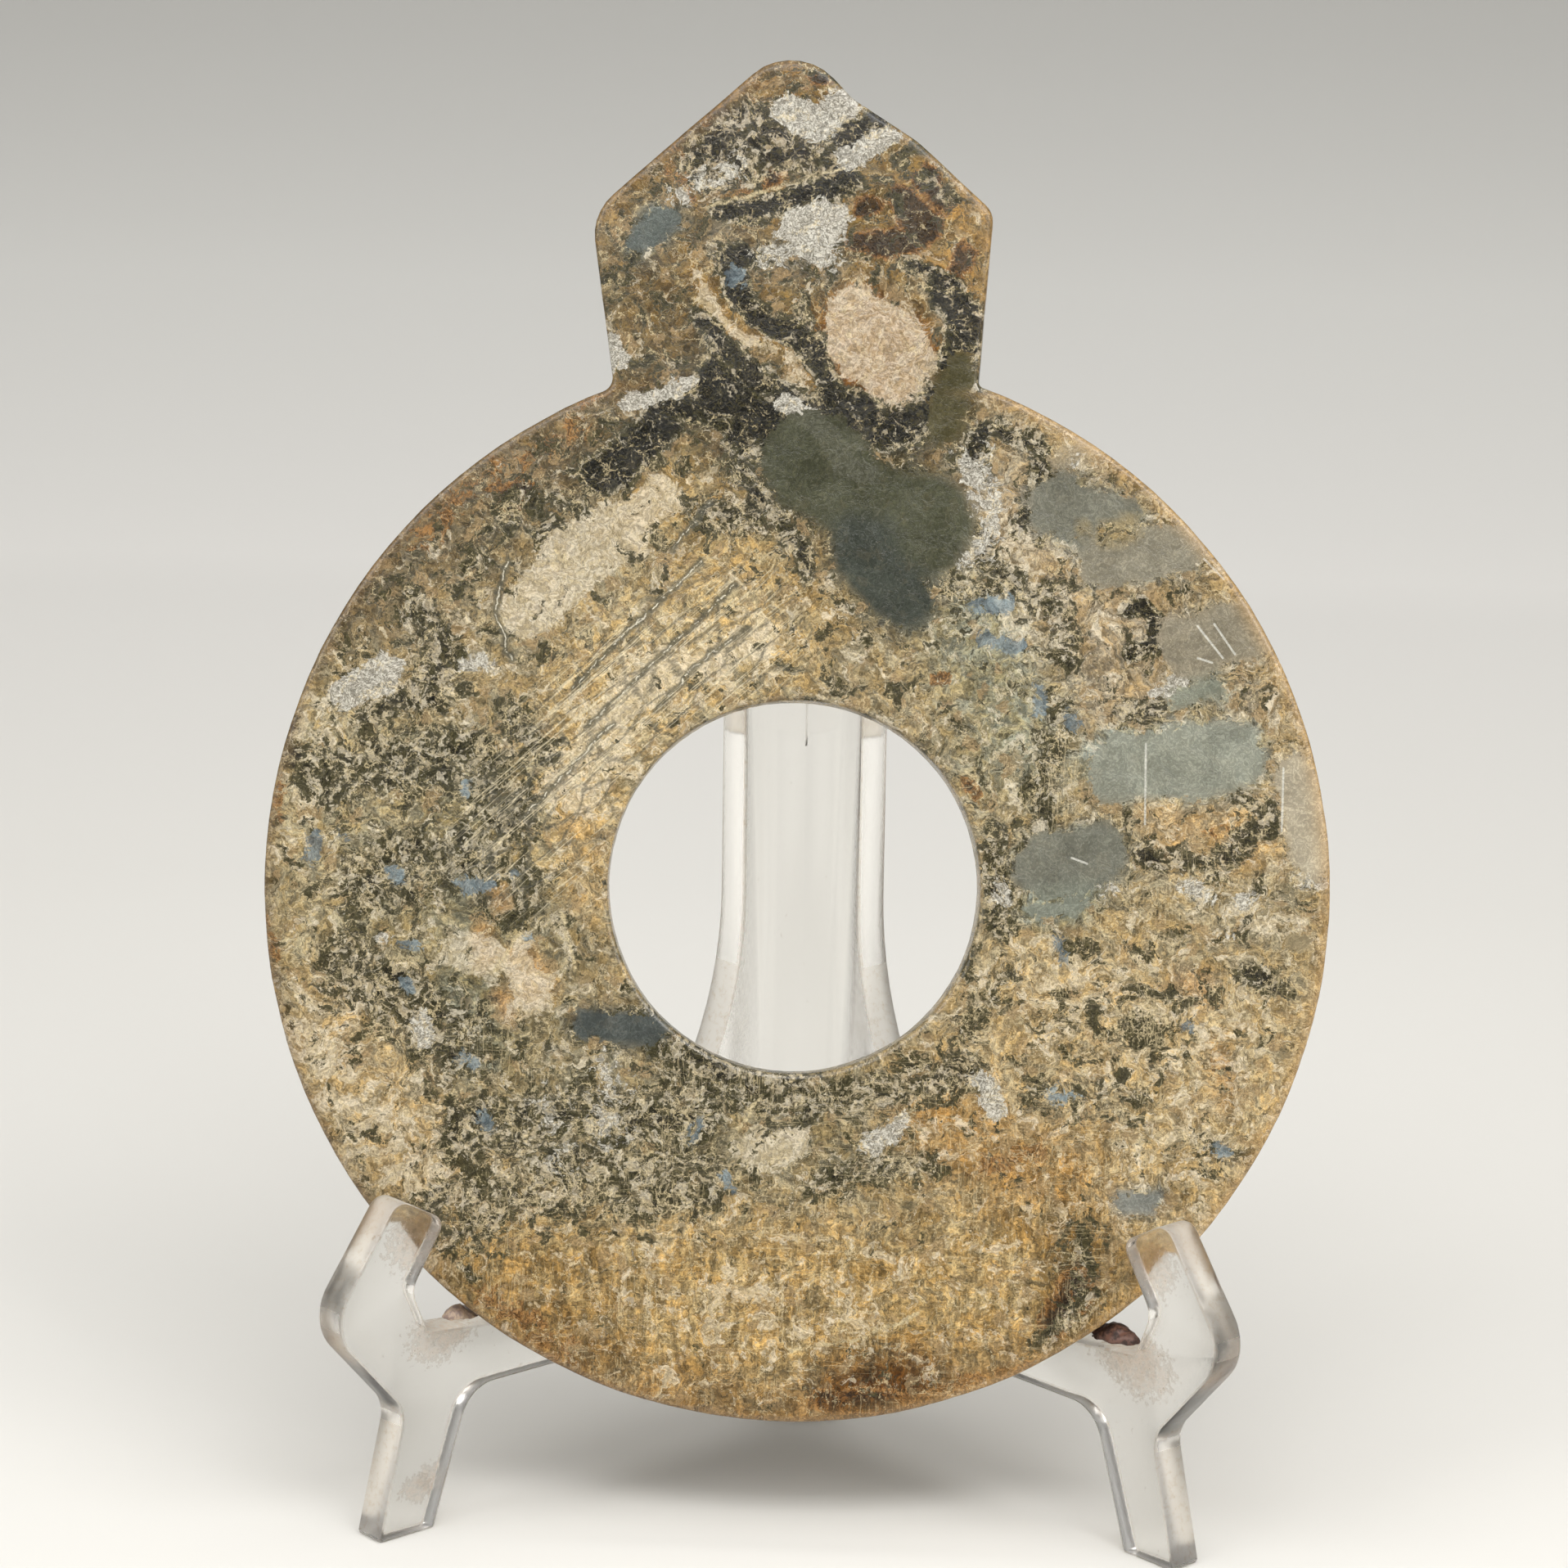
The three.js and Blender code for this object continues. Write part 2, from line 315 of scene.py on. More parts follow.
# What the stone is made of, as strokes on its faces in millimetres from the hole's centre. They were
# picked in other units, and another program converted, rounded and printed these lists. Each
# ground colour has its strength, its course, its half width and how softly it ends.
grounds = [
    ("#776137", 1, [(-3, 126), (-3, 90)], 34.5, 12.5),  # tan grey
    ("#846F49", 0.9, [(-32, 115), (-13, 133)], 6, 6),  # gold slope
    ("#927442", 0.9, [(23, 116), (27, 96)], 6, 6),  # gold right
    ("#6B5B3D", 0.9, [(-29, 103), (-22, 88)], 8.5, 6),  # peak left grey
    ("#2A271A", 0.95, [(-21, 79), (-3, 80), (17, 76)], 8.5, 7.5),  # neck dark
    ("#695D47", 0.95, [(-75, 49), (-58, 64), (-39, 73)], 10.5, 8.5),  # mauve
    ("#A08A60", 0.95, [(-22, 67), (-12, 55), (-4, 46)], 10, 5.5),  # golden
    ("#BCA77D", 0.95, [(-44, 9), (-30, 32), (-12, 42)], 11.5, 6),  # cleft cream
    ("#A39676", 0.9, [(-78, 18), (-76, -15)], 13, 8.5),  # left grey
    ("#7A755C", 0.8, [(-57, 13), (-51, -25)], 11, 8.5),  # green grey
    ("#B09D7A", 0.95, [(-76, -26), (-64, -45)], 11, 7.5),  # low cream
    ("#857C64", 0.85, [(-37, -36), (5, -41)], 9.5, 7),  # below hole
    ("#AC9263", 1, [(-56, -68), (-23, -72), (19, -70), (60, -59)], 15, 7),  # gold brown
    ("#90764A", 0.8, [(-47, -67), (-36, -72)], 8.5, 7),  # brown left
    ("#86673C", 0.9, [(-44, -78), (-22, -87), (0, -89), (40, -80)], 4, 6),  # rim brown
    ("#A98550", 0.9, [(27, -37), (45, -47)], 8.5, 5.5),  # orange
    ("#B4A07A", 0.95, [(43, -21), (73, -28), (71, -46)], 16.5, 9.5),  # speckled tan
    ("#A4947A", 0.9, [(36, 61), (64, 29)], 15, 8.5),  # upper tan
    ("#8F907C", 0.8, [(29, 45), (37, 26)], 8.5, 6),  # blue grey
    ("#B99D72", 0.8, [(64, 11), (77, 11)], 5.5, 4),  # peach
    ("#7E5219", 1, [(9, 94), (15, 88)], 7.5, 1.4),  # peach
    ("#2B281B", 0.9, [(-14, 77), (-3, 66)], 5.5, 4),  # neck black
    ("#33301F", 0.9, [(-35, 69), (-25, 76)], 4.5, 2),  # clast
    ("#553305", 0.95, [(11, -84), (20, -83)], 6, 4),  # amber
    ("#574018", 0.95, [(48, -71), (50, -62)], 5.5, 4),  # amber right
    ("#4A4B39", 1, [(1, 72), (11, 64), (20, 61)], 9, 1.9),  # neck slate
    ("#42463E", 1, [(9, 57), (17, 49)], 6, 1.9),  # neck slate
    ("#4F4A30", 1, [(25, 87), (23, 78)], 4.5, 1.9),  # olive
    ("#727164", 1, [(43, 66), (51, 62)], 6.5, 1.4),  # slate warm
    ("#8E8876", 1, [(51, 55), (63, 59)], 5, 1.4),  # slate pale
    ("#8B8370", 1, [(65, 42), (77, 46)], 5.5, 1.4),  # slate mauve
    ("#86897A", 1, [(63, 33), (70, 35)], 3, 1.4),  # slate green
    ("#8F9183", 1, [(53, 22), (66, 23), (73, 24)], 6.5, 1.4),  # slate green
    ("#B0A690", 1, [(84, 20), (87, 8)], 4.5, 1.4),  # slate light
    ("#727266", 1, [(42, 5), (51, 7)], 6, 1.4),  # slate deep
    ("#83877A", 1, [(41, -3), (48, 0)], 3.5, 1.4),  # slate green
    ("#4E5350", 1, [(-35, -24), (-25, -25)], 4, 1.4),  # slate dark
    ("#5F6560", 1, [(-29, 109), (-25, 112)], 3.5),  # slate blue
    ("#9A8860", 0.75, [(51, 60), (54, 62)], 1.8, 0.7),  # tan isle
    ("#9A8860", 0.75, [(47, 62), (47, 61)], 0.8, 0.6),  # tan isle
    ("#6B675C", 0.9, [(-16, 108), (2, 105)], 3, 3.5),  # grey
    ("#94794A", 0.7, [(-20, 104), (-18, 99), (-12, 93), (-6, 90), (1, 86)], 1.7, 1.4),  # gold cream
    ("#6A5230", 0.85, [(-17, 123), (-8, 128)], 6.5, 4),  # brown net
    ("#7C6238", 0.9, [(-7, 139), (-11, 134)], 3.5, 3.5),  # gold tip
    ("#AE9069", 0.85, [(-50, -2), (-50, -4)], 1.8),  # peach clast
    ("#AE9069", 0.85, [(-46, -14), (-44, -18)], 3.5, 1.2),  # peach clast
    ("#A8875F", 0.8, [(-53, -10), (-52, -14)], 1.8),  # peach clast
    ("#A5835A", 0.8, [(-49, -21), (-48, -23)], 1.8),  # peach clast
    ("#B99E70", 0.8, [(-38, 16), (-36, 8), (-35, -4)], 3, 1.7),  # peach clast
    ("#A98A60", 0.75, [(72, -25), (73, -33)], 2.5, 1.7),  # warm clast
    ("#A58560", 0.65, [(66, -14), (70, -15)], 2.5, 1.7),  # warm clast
    ("#6E7468", 0.6, [(-56, -21), (-53, -29)], 3.5, 3),  # blue grey
    ("#85867E", 1, [(57, -51), (61, -51)], 3),  # blue grey
    ("#8D8676", 0.7, [(18, 101), (25, 94)], 1.4, 1.4),  # grey streak
]
# The minerals are drawn in the same way. A strength below nought wears the mineral away.
minerals = {
    # white crystal
    "white": [
        (1.3, [(-5, 132), (0, 129), (4, 132)], 2.5, 1.2),
        (1.2, [(5, 123), (12, 127)], 1.7, 1.2),
        (1.3, [(-2, 112), (2, 113), (0, 109)], 3.5),
        (0.6, [(-8, 107), (3, 106)], 2.5, 1.7),
        (0.65, [(-23, 116), (-12, 122)], 2, 1.7),
        (1.3, [(-33, 92), (-32, 88)], 1.1),
        (1.3, [(-30, 81), (-20, 85)], 1.2),
        (1.3, [(-3, 81), (1, 78), (5, 74)], 1.9),
        (1.3, [(6, 71), (11, 70)], 1.5),
        (0.62, [(28, 72), (31, 64), (28, 58)], 4, 2),
        (1, [(44, 73), (45, 74)], 1.1),
        (1, [(59, 34), (64, 37)], 1.2),
        (0.8, [(66, 2), (70, 1)], 1.4),
        (1, [(75, 0), (76, 0)], 1.7),
        (0.8, [(35, 1), (35, -1)], 1.8),
        (0.75, [(52, 1), (55, 1)], 1.2),
        (0.75, [(72, -6), (73, -6)], 1.2),
        (0.7, [(85, 4), (88, 4)], 1.7),
        (1, [(32, -32), (34, -36)], 2),
        (0.95, [(14, -43), (19, -39)], 1.7),
        (1.3, [(-77, 31), (-70, 34)], 2.5, 1.2),
        (0.7, [(-56, 36), (-54, 36)], 1.7, 1.2),
        (1, [(-63, -23), (-62, -28)], 1.1),
        (0.7, [(-70, -10), (-68, -10)], 1.4),
        (0.5, [(-31, -31), (-30, -42)], 4, 3),
        (0.45, [(-41, -36), (-37, -47)], 3, 2),
    ],
    # cream nodules, bands and seams
    "cream": [
        (0.95, [(9, 94), (15, 88)], 7),
        (1.25, [(-46, 46), (-40, 54), (-32, 59)], 5),
        (1, [(-30, 60), (-24, 66)], 3),
        (1, [(-6, -44), (0, -43)], 3.5),
        (0.9, [(-46, -16), (-44, -19)], 3.5),
        (0.85, [(-57, -12), (-52, -14)], 3),
        (0.62, [(-20, 104), (-18, 99), (-12, 93), (-6, 90), (1, 86)], 1.8, 1.7),
        (0.5, [(-11, 88), (1, 83), (4, 72)], 3, 1.9),
        (0.7, [(-38, 16), (-32, 27)], 7, 4),
        (0.8, [(-30, 31), (-23, 36)], 4.5, 2),
        (0.85, [(-17, 37), (-7, 41)], 3.5, 1.7),
        (0.62, [(36, 60), (36, 45)], 5.5, 3.5),
        (0.5, [(-87, 24), (-79, 29), (-82, 13)], 6.5, 4),
        (0.55, [(-82, -26), (-71, -42), (-61, -52)], 8.5, 5.5),
        (0.4, [(43, -14), (73, -21), (62, -43)], 12.5, 7),
        (0.45, [(-9, -70), (8, -71)], 8.5, 4),
        (1.1, [(-59, 4), (-60, -6), (-64, -9)], 0.6),
        (1.1, [(-40, -6), (-37, -13), (-39, -16)], 0.6),
        (1.1, [(-45, -8), (-48, -14), (-51, -18)], 0.6),
        (1, [(-60, -19), (-58, -25), (-59, -32)], 0.4),
        (1, [(-48, 0), (-46, -6), (-46, -9)], 0.4),
        (0.9, [(-36, -24), (-39, -30), (-42, -34)], 0.4),
        (0.5, [(70, 1), (85, -5)], 5, 3),
    ],
    # olive-black bands and clasts
    "dark": [
        (-0.6, [(-56, -72), (-22, -75), (19, -72), (60, -61)], 15, 8.5),
        (0.85, [(-17, 123), (-8, 128), (0, 124)], 7, 4),
        (1.2, [(-16, 113), (-6, 116), (6, 120)], 1.9),
        (1.4, [(5, 126), (10, 131)], 2),
        (1.3, [(-11, 107), (-14, 105), (-13, 99), (-7, 95), (-1, 91)], 2),
        (1.1, [(-18, 95), (-14, 90), (-8, 85), (1, 80)], 1.9),
        (1.3, [(-5, 94), (1, 90), (4, 84)], 2.5, 1.4),
        (1.15, [(4, 83), (12, 80), (21, 82), (25, 89), (26, 96), (22, 102)], 3.5, 1.9),
        (0.7, [(-2, 99), (0, 92)], 1.9, 1.7),
        (0.7, [(-21, 103), (-18, 91), (-16, 87)], 1.1),
        (0.6, [(20, 120), (23, 116)], 3.5, 3),
        (1.3, [(-16, 85), (-8, 79), (1, 69)], 3.5, 1.4),
        (1.1, [(-25, 80), (-15, 81)], 3, 1.7),
        (0.9, [(-11, 70), (-4, 61), (1, 52)], 1.7),
        (1.4, [(-35, 69), (-29, 73), (-25, 77)], 3.5, 1.2),
        (1, [(-45, 57), (-43, 62)], 1),
        (0.75, [(-66, 45), (-60, 38), (-62, 32)], 4.5, 3),
        (0.8, [(-74, 27), (-65, 31)], 3, 1.9),
        (0.7, [(-79, 17), (-57, 20), (-49, 11)], 8.5, 7),
        (0.72, [(-49, 27), (-43, 20)], 3.5, 3),
        (0.9, [(-87, 25), (-86, 20)], 2),
        (0.64, [(-73, -1), (-57, 4), (-48, -2)], 9.5, 7),
        (0.68, [(-74, -16), (-56, -28)], 8.5, 5.5),
        (0.82, [(-20, -29), (-9, -33), (-1, -35)], 5, 3.5),
        (0.74, [(-56, -43), (-34, -39), (-16, -39)], 6.5, 4.5),
        (0.62, [(-56, -56), (-37, -50), (-16, -50)], 8.5, 4.5),
        (0.7, [(2, -36), (18, -34), (29, -30)], 4.5, 3.5),
        (0.66, [(6, -49), (23, -46)], 4, 3),
        (0.85, [(38, 77), (39, 68), (36, 61)], 1.7),
        (0.8, [(32, 78), (36, 76)], 2, 1.7),
        (0.75, [(29, 59), (33, 53)], 3, 2),
        (0.66, [(26, 50), (43, 51), (45, 40)], 4, 3),
        (0.62, [(43, 31), (41, 12), (36, -1)], 3.5, 2.5),
        (1.3, [(54, 48), (57, 49), (60, 46), (59, 42), (55, 40)], 1.2),
        (-1, [(57, 45), (57, 44)], 1.1),
        (0.8, [(55, 31), (59, 31)], 2.5, 1.7),
        (0.78, [(59, 7), (69, 5), (78, 12)], 2.5, 1.7),
        (0.75, [(74, 17), (79, 15)], 1.9, 1.4),
        (0.7, [(33, 10), (35, -6)], 3, 1.9),
        (0.6, [(36, -14), (29, -23)], 4, 3.5),
        (0.95, [(77, -12), (81, -14)], 2, 1.4),
        (0.5, [(59, -16), (69, -17)], 4, 3.5),
        (0.5, [(46, -21), (62, -22)], 8.5, 7),
        (0.8, [(52, -31), (53, -35)], 1.2),
        (0.5, [(40, -33), (58, -34)], 5.5, 4),
        (0.66, [(70, -42), (78, -43)], 2, 1.7),
        (0.55, [(49, -57), (51, -68), (45, -76)], 4.5, 3.5),
        (0.6, [(-11, 77), (17, 80), (30, 85)], 3, 2),
        (0.55, [(-38, 63), (-47, 66), (-57, 52)], 4, 3),
        (0.6, [(-56, -64), (-52, -67)], 1.9, 1.4),
        (1.1, [(-11, 76), (3, 78), (17, 78)], 4, 2),
        (1.2, [(27, 72), (29, 78)], 1.7),
        (0.9, [(-18, 126), (-15, 128)], 1.4),
        (1.2, [(-13, 122), (-11, 120)], 1.2),
        (1.2, [(-7, 123), (-3, 124)], 1.2),
        (1.1, [(-21, 123), (-19, 124)], 1.1),
        (1.1, [(15, 106), (19, 105)], 1.4),
        (0.75, [(-18, 63), (-7, 61)], 4, 3.5),
        (-0.8, [(9, 94), (15, 88)], 6.5),
        (-1, [(-50, -2), (-50, -4)], 1.7),
        (-1, [(-46, -14), (-44, -18)], 3.5),
        (-0.9, [(-53, -10), (-52, -14)], 1.7),
        (-0.9, [(-49, -21), (-48, -23)], 1.7),
        (-0.8, [(-38, 16), (-36, 8), (-35, -4)], 1.9, 1.4),
        (-0.8, [(-20, 104), (-18, 99), (-12, 93), (-6, 90), (1, 86)], 1.4, 1.4),
        (-0.4, [(-46, 46), (-40, 54), (-32, 59)], 4, 1.4),
    ],
    # brown and rust nodules
    "rust": [
        (1.4, [(0, 136), (1, 136)], 1.2),
        (1.4, [(15, 116), (19, 112)], 2.5),
        (1.4, [(8, 115), (9, 115)], 1.9),
        (1.4, [(7, 109), (8, 109)], 1.5),
        (1.4, [(11, 109), (16, 110)], 2),
        (1.4, [(19, 120), (22, 116)], 1.7),
        (0.55, [(-66, 57), (-55, 67), (-40, 77)], 3.5, 3.5),
        (0.6, [(-88, 17), (-88, 9)], 1.4),
        (0.6, [(-89, -8), (-87, -16)], 1.4),
        (0.7, [(-39, 81), (-34, 83)], 1.1),
        (1, [(7, -86), (18, -86)], 2.5),
        (0.7, [(20, -86), (41, -79)], 1.7, 1.4),
        (0.55, [(-50, -71), (-36, -80)], 4, 3),
        (0.95, [(29, 18), (30, 17)], 1.5),
        (0.5, [(69, 11), (72, 11)], 2, 1.4),
        (0.55, [(32, -46), (42, -43)], 3, 1.9),
        (0.5, [(71, -28), (73, -30)], 1.9, 1.4),
        (0.62, [(23, 36), (25, 36)], 1.4),
        (0.5, [(-17, 123), (-3, 126)], 9.5, 4),
        (1.3, [(-16, 130), (-16, 128)], 1.2),
        (1.3, [(-11, 128), (-10, 127)], 1.2),
        (1.3, [(-14, 124), (-13, 125)], 1.1),
        (1.3, [(-8, 121), (-7, 120)], 1.1),
        (1.2, [(-5, 127), (-4, 126)], 1.4),
        (1.2, [(20, 122), (21, 119)], 1.2),
        (1.1, [(24, 104), (26, 108)], 1.9),
        (1.2, [(-50, 64), (-47, 66)], 1.7),
        (1.1, [(46, -72), (49, -65)], 3, 1.9),
    ],
    # smooth slate
    "slate": [
        (1.3, [(1, 72), (11, 64), (20, 61)], 8, 1.8),
        (1.3, [(9, 57), (17, 49)], 4.5, 1.8),
        (0.9, [(25, 87), (23, 78)], 3.5, 1.8),
        (1.3, [(43, 66), (51, 62)], 5, 1.8),
        (1.3, [(51, 55), (63, 59)], 3.5, 1.8),
        (-1, [(51, 60), (54, 62)], 1.9, 1.8),
        (-1, [(47, 62), (47, 61)], 1, 1.8),
        (1, [(41, 73), (50, 77)], 1.7, 1.8),
        (1.3, [(65, 42), (77, 46)], 4.5, 1.8),
        (1, [(63, 33), (70, 35)], 1.8, 1.8),
        (1.3, [(54, 21), (66, 23), (73, 24)], 5, 1.8),
        (1.3, [(84, 20), (86, 8)], 3, 1.8),
        (1.3, [(42, 5), (51, 7)], 4.5, 1.8),
        (0.8, [(41, -3), (48, 0)], 1.9, 1.8),
        (1.3, [(-35, -24), (-25, -25)], 2.5, 1.8),
        (1.3, [(-29, 109), (-25, 112)], 2, 1.8),
        (1, [(57, -51), (61, -51)], 2, 1.8),
        (1, [(84, -7), (85, -7)], 1.8, 1.8),
    ],
    # blue glints
    "blue": [
        (1, [(-13, 104), (-14, 102)], 1.2),
        (1, [(-82, 6), (-82, 3)], 1.2),
        (1, [(-56, -2), (-51, 0)], 1.2),
        (0.8, [(29, 47), (34, 48)], 1.7),
        (0.8, [(30, 42), (37, 41)], 1.4),
        (0.75, [(40, 35), (40, 30)], 1.2),
        (0.8, [(45, 30), (46, 29)], 1.4),
        (0.8, [(45, -7), (45, -11)], 1.1),
        (0.7, [(-68, 1), (-67, -1)], 1.4),
        (0.8, [(-52, -41), (-51, -42)], 1.4),
        (0.7, [(-16, -43), (-15, -40)], 1.2),
        (0.75, [(-10, -50), (-9, -51)], 1.4),
        (0.8, [(-56, 16), (-56, 14)], 1.2),
        (0.7, [(-56, -30), (-53, -31)], 1.2),
        (0.8, [(-65, -11), (-63, -12)], 1.2),
        (0.7, [(-46, -10), (-45, -10)], 1.1),
        (0.9, [(-66, -18), (-65, -19)], 1.1),
        (0.8, [(66, -21), (66, -22)], 1),
        (0.7, [(72, -42), (74, -42)], 1.2),
        (0.55, [(45, -33), (47, -34)], 1.9, 1.4),
        (0.75, [(-77, 7), (-76, 6)], 1),
        (0.7, [(-48, 1), (-46, 0)], 1.1),
    ],
}
# The straight lines: clefts, cream ribbons and white needles.
clefts = [
    [(-38.3, 32.4), (-29.5, 42.1), (-17.3, 54.3)],
    [(-35.4, 26.2), (-23.6, 38.4), (-11.4, 50.5)],
    [(-24.3, 29.1), (-16.3, 38.2), (-9, 43.3)],
    [(-22, 56.6), (-16.3, 64.4)],
    [(-45.8, 10.6), (-37.7, 19.7), (-31.6, 26.7)],
    [(-50.2, 53.5), (-52, 45.8), (-49.1, 37.3)],
]
ribbons = [
    [(-39.4, -5.4), (-35.9, -15.2)],
    [(-45.8, -8.7), (-50.7, -16.2)],
    [(-9.4, -43.1), (-4.5, -35.2)],
    [(0.7, -78.4), (14.7, -74.9), (23.1, -70.8)],
    [(-18.5, 114.1), (4.9, 121.6)],
]
needles = [
    [(66.5, 45.7), (70.9, 40.4)],
    [(69.3, 46.1), (72.9, 41.1)],
    [(66.7, 40.3), (69.1, 39.6)],
    [(67.3, 57), (70.7, 53.7)],
    [(58.4, 25.7), (58.6, 12.2)],
    [(81.5, 22.2), (81.5, 11.7)],
    [(46.5, 6.2), (49.1, 5.3)],
]

skin = np.empty(len(jade.data.vertices) * 3)
jade.data.vertices.foreach_get("co", skin)
skin = skin.reshape(-1, 3) * 1000
# The drawing wavers as mineral borders do: slowly over 9 mm, and again over 3 mm.
noise.seed_set(7)
waver = np.array([
    1.5 * noise.noise_vector(Vector(place) / 9) + 0.8 * noise.noise_vector(Vector(place) / 3)
    for place in skin
])
# Through the thickness the minerals run aslant, so the back differs from the front.
drawn = skin[:, :2] + waver[:, :2] + skin[:, 2:] * (0.5, -0.35)
far_off = 1e9


def stroke(course, half_width, softness=1.1):
    """How much of each vertex a stroke covers: 1 inside, a half on its edge, 0 outside."""
    distance = np.full(len(drawn), far_off)
    course = np.array(course, float)
    for start, end in zip(course[:-1], course[1:]):
        run = end - start
        along = np.clip((drawn - start) @ run / (run @ run), 0, 1)
        distance = np.minimum(distance, np.hypot(*(drawn - start - along[:, None] * run).T))
    return np.clip(0.5 + (half_width - distance) / (2 * softness), 0, 1)


ground = np.tile(rgb("#988A6C")[:3], (len(drawn), 1))
for colour, strength, *path in grounds:
    share = strength * stroke(*path)[:, None]
    ground = ground * (1 - share) + np.array(rgb(colour)[:3]) * share
paleness = ground.mean(axis=1)
amount = {name: np.zeros(len(drawn)) for name in minerals}
amount["dark"] = 0.42 - 0.45 * paleness
amount["cream"] = 0.2 + 0.45 * paleness
for name, strokes in minerals.items():
    for strength, *path in strokes:
        drawn_in = strength * stroke(*path)
        if strength > 0:
            amount[name] = np.maximum(amount[name], drawn_in)
        else:
            amount[name] = amount[name] * (1 + drawn_in)
# Streaks run up the foot of the disc, clefts cross the pale field left of the hole, and along the
# rim a painted glow stands in for light passing through the stone. Each side of the peak is a point
# on it and the way out of the stone.
streak = stroke([(-62, -66), (-23, -72), (19, -70), (66, -56)], 18, 7)
cleft = stroke([(-46, 6), (-30, 32), (-12, 42)], 12, 5)
peak_sides = [(30.5, 114.7, 1, 0.06), (30.5, 114.7, 0.78, 0.62), (-37.8, 113.2, -0.66, 0.75),
              (-37.8, 113.2, -1, 0.1)]
peak_foot, peak_left, peak_right = 84, -36, 31
painted_glow_depth = 4
edge_run = rim_radius * 1000 - np.hypot(skin[:, 0], skin[:, 1])
on_peak = (skin[:, 1] > peak_foot) & (skin[:, 0] > peak_left) & (skin[:, 0] < peak_right)
inset = np.full(len(drawn), far_off)
for x, y, right, up in peak_sides:
    away = ((x - skin[:, 0]) * right + (y - skin[:, 1]) * up) / math.hypot(right, up)
    inset = np.minimum(inset, away)
rim_inset = np.where(on_peak | (edge_run < -1), inset, edge_run)
# Painted glow: how much of the colour near the outline is painted as light shining through, fading
# inward.
rim = np.clip(1 - rim_inset / painted_glow_depth, 0, 1) ** 2


def painted(name, channels):
    """Stores four painted amounts on the stone's vertices as one attribute."""
    layer = jade.data.attributes.new(name, "FLOAT_COLOR", "POINT")
    layer.data.foreach_set("color", np.column_stack(channels).astype(np.float32).ravel())


painted("ground", [*ground.T, streak])
painted("minerals", [amount["dark"], amount["cream"], amount["white"], amount["slate"]])
# The fourth accent channel is the share of painted rim glow.
painted("accents", [amount["rust"], amount["blue"], cleft, rim])
jade.data.transform(stone_seat)


def sums(tree, operation, *values):
    """One Math node's result."""
    return wired(tree, "ShaderNodeMath", dict(enumerate(values)), operation=operation)[0]


def blended(tree, share, under, over, blend="MIX"):
    """One colour laid over another by a share."""
    wires = {0: share, 6: under, 7: over}
    return wired(tree, "ShaderNodeMix", wires, data_type="RGBA", blend_type=blend)[2]


def ramped(tree, value, low, high, start=0.0, end=1.0):
    """A value taken from one range to another, smoothly."""
    wires = {"Value": value, "From Min": low, "From Max": high, "To Min": start, "To Max": end}
    return wired(tree, "ShaderNodeMapRange", wires, interpolation_type="SMOOTHSTEP")[0]


def clouds(tree, place, scale, detail, roughness=0.5):
    """A fractal noise's outputs."""
    wires = {"Vector": place, "Scale": scale, "Detail": detail, "Roughness": roughness}
    return wired(tree, "ShaderNodeTexNoise", wires)


def pushed(tree, place, reach, scale, detail, roughness=0.5):
    """A place moved about by noise, as far as its reach."""
    push = clouds(tree, place, scale, detail, roughness)["Color"]
    push = vectors(tree, "SUBTRACT", push, (0.5, 0.5, 0.5))
    return vectors(tree, "MULTIPLY_ADD", push, reach, place)


def effect(name, takes, gives):
    """A new shader node group with its inputs and outputs. Returns it with its two end nodes."""
    group = bpy.data.node_groups.new(name, "ShaderNodeTree")
    for socket, kind, value in takes:
        made = group.interface.new_socket(socket, in_out="INPUT", socket_type=kind)
        if value is not None:
            made.default_value = value
    for socket, kind in gives:
        group.interface.new_socket(socket, in_out="OUTPUT", socket_type=kind)
    take, give = group.nodes.new("NodeGroupInput"), group.nodes.new("NodeGroupOutput")
    return group, take.outputs, give.inputs


VECTOR, FLOAT = "NodeSocketVector", "NodeSocketFloat"

# Mineral grain: a drawn amount broken up by fractal noise, so that a border is ragged and a weak
# amount becomes scattered specks.
mineral_grain, take, give = effect(
    "mineral_grain",
    [("Place", VECTOR, None), ("Amount", FLOAT, 0.5), ("Size", FLOAT, 2.0), ("Scatter", FLOAT, 2.0),
     ("Edge", FLOAT, 0.05), ("Shift", FLOAT, 0.0)],
    [("Mask", FLOAT), ("Depth", FLOAT)],
)
shifted = vectors(mineral_grain, "ADD", take["Place"], take["Shift"])
fineness = sums(mineral_grain, "DIVIDE", 1.0, take["Size"])
cloud = clouds(mineral_grain, shifted, fineness, 8.0, 0.7)["Fac"]
ragged = sums(mineral_grain, "SUBTRACT", cloud, 0.5)
ragged = sums(mineral_grain, "MULTIPLY_ADD", ragged, take["Scatter"], take["Amount"])
lower = sums(mineral_grain, "SUBTRACT", 0.5, take["Edge"])
upper = sums(mineral_grain, "ADD", 0.5, take["Edge"])
mineral_grain.links.new(ramped(mineral_grain, ragged, lower, upper), give["Mask"])
mineral_grain.links.new(ramped(mineral_grain, ragged, 0.5, 1.1), give["Depth"])

